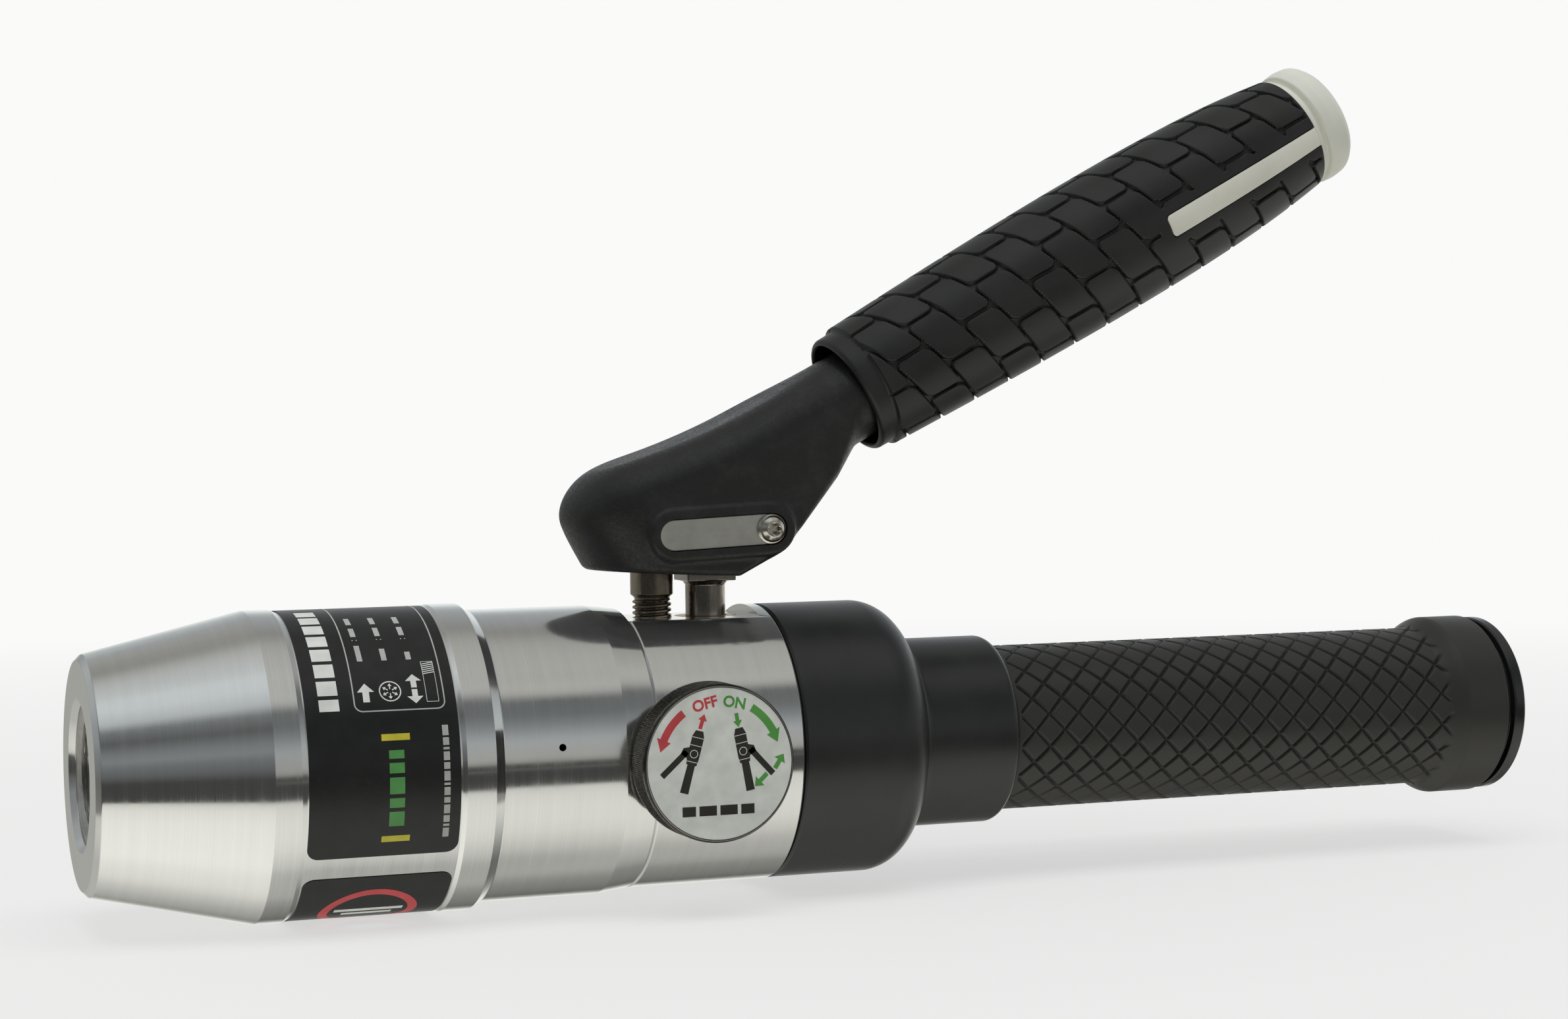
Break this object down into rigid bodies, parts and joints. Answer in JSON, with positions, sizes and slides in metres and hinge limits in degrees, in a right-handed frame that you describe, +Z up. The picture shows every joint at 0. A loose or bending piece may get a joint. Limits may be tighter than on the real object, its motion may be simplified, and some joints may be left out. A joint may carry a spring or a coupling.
{
  "type": "hand-held hydraulic punch driver",
  "caption": "One-hand hydraulic punch driver: round cylinder with a threaded draw ram, pump block with a pumping lever, rotary release knob and a tubular rear grip that holds the oil.",
  "frame": {"origin": "centre of the nose face, on the cylinder's axis", "axes": "+X along the tool axis from the nose to the end of the rear grip, +Z up to the pumping lever, -Y the side with the release knob"},
  "size_m": [0.3441, 0.0745, 0.1896],
  "materials": {
    "turned_aluminium": "fine turned, semi-polished",
    "block_aluminium": "fine turned, semi-polished, milled flat",
    "ram_steel": "oiled, dull",
    "post_steel": "dark oiled steel, turned",
    "plunger_steel": "dark hardened steel, ground",
    "inner_steel": "machined",
    "spring_steel": "phosphated wire",
    "ball_steel": "polished",
    "bronze": "machined bronze",
    "seal_rubber": "smooth nitrile",
    "seal_plastic": "polyurethane",
    "guide_plastic": "filled tape",
    "label_film": "printed film, satin",
    "anodised_black": "black anodised, satin",
    "knob_aluminium": "black anodised, knurled rim",
    "dial_plate": "brushed plate, printed",
    "head_casting": "black coated casting, fine grain",
    "plate_steel": "brushed strip",
    "screw_steel": "zinc plated",
    "grip_rubber": "moulded black rubber",
    "rear_grip_rubber": "moulded black rubber",
    "inlay_plastic": "light grey",
    "cap_plastic": "light grey beige, moulded",
    "tube_steel": "drawn tube",
    "bladder_rubber": "smooth",
    "screen_mesh": "woven gauze",
    "end_plug_black": "black anodised, satin"
  },
  "bodies": {
    "tool_body": {"cylinder_body": "turned_aluminium", "rod_wiper": "seal_plastic", "rod_bush": "bronze", "rod_seal": "seal_plastic", "cylinder_oring": "seal_rubber", "port_oring": "seal_rubber", "block_screws": "inner_steel", "data_label": "label_film", "warning_label": "label_film", "pump_block": "block_aluminium", "fulcrum_post": "post_steel", "plunger_bush": "bronze", "plunger_seal": "seal_plastic", "inlet_cage": "inner_steel", "inlet_ball": "ball_steel", "outlet_ball": "ball_steel", "outlet_spring": "spring_steel", "outlet_plug": "inner_steel", "relief_ball": "ball_steel", "relief_spring": "spring_steel", "relief_screw": "screw_steel", "release_ball": "ball_steel", "spindle_oring": "seal_rubber", "spindle_gland": "inner_steel", "rear_cover": "anodised_black", "cover_oring": "seal_rubber", "suction_screen": "screen_mesh", "reservoir_tube": "tube_steel", "oil_bladder": "bladder_rubber", "bladder_clamp": "inner_steel", "end_plug": "end_plug_black", "end_plug_oring": "seal_rubber", "rear_grip": "rear_grip_rubber"},
    "ram": {"ram": "ram_steel", "piston": "inner_steel", "piston_seal": "seal_plastic", "piston_guide_ring": "guide_plastic", "piston_nut": "inner_steel", "return_spring": "spring_steel"},
    "lever": {"lever_head": "head_casting", "fulcrum_pin": "inner_steel", "plunger_pin": "inner_steel", "pin_plate": "plate_steel", "plate_screw": "screw_steel", "lever_tube": "tube_steel", "lever_grip": "grip_rubber", "grip_inlays": "inlay_plastic", "lever_end_cap": "cap_plastic"},
    "plunger": {"plunger": "plunger_steel", "plunger_spring": "spring_steel"},
    "knob": {"release_spindle": "inner_steel", "release_knob": "knob_aluminium", "knob_screw": "inner_steel", "dial_disc": "dial_plate"}
  },
  "joints": [
    {"name": "lever_swing", "type": "hinge", "parent": "tool_body", "child": "lever", "pos_m": [0.1271, 0, 0.0477], "axis": [0, 1, 0], "range_deg": [0, 30], "stiffness_Nm_per_rad": 0.6, "springref_deg": -80.21},
    {"name": "plunger_stroke", "type": "slide", "parent": "tool_body", "child": "plunger", "axis": [0, 0, -1], "range_m": [0, 0.0066], "deforming": ["plunger_spring"]},
    {"name": "knob_turn", "type": "hinge", "parent": "tool_body", "child": "knob", "pos_m": [0.1284, 0, 0], "axis": [0, -1, 0], "range_deg": [0, 90]},
    {"name": "ram_draw", "type": "slide", "parent": "tool_body", "child": "ram", "axis": [1, 0, 0], "range_m": [0, 0.018], "stiffness_N_per_m": 2000, "springref_m": -0.01, "deforming": ["return_spring"]}
  ],
  "couplings": [
    {"joint": "plunger_stroke", "follows": "lever_swing", "m_per_rad": 0.0123}
  ]
}
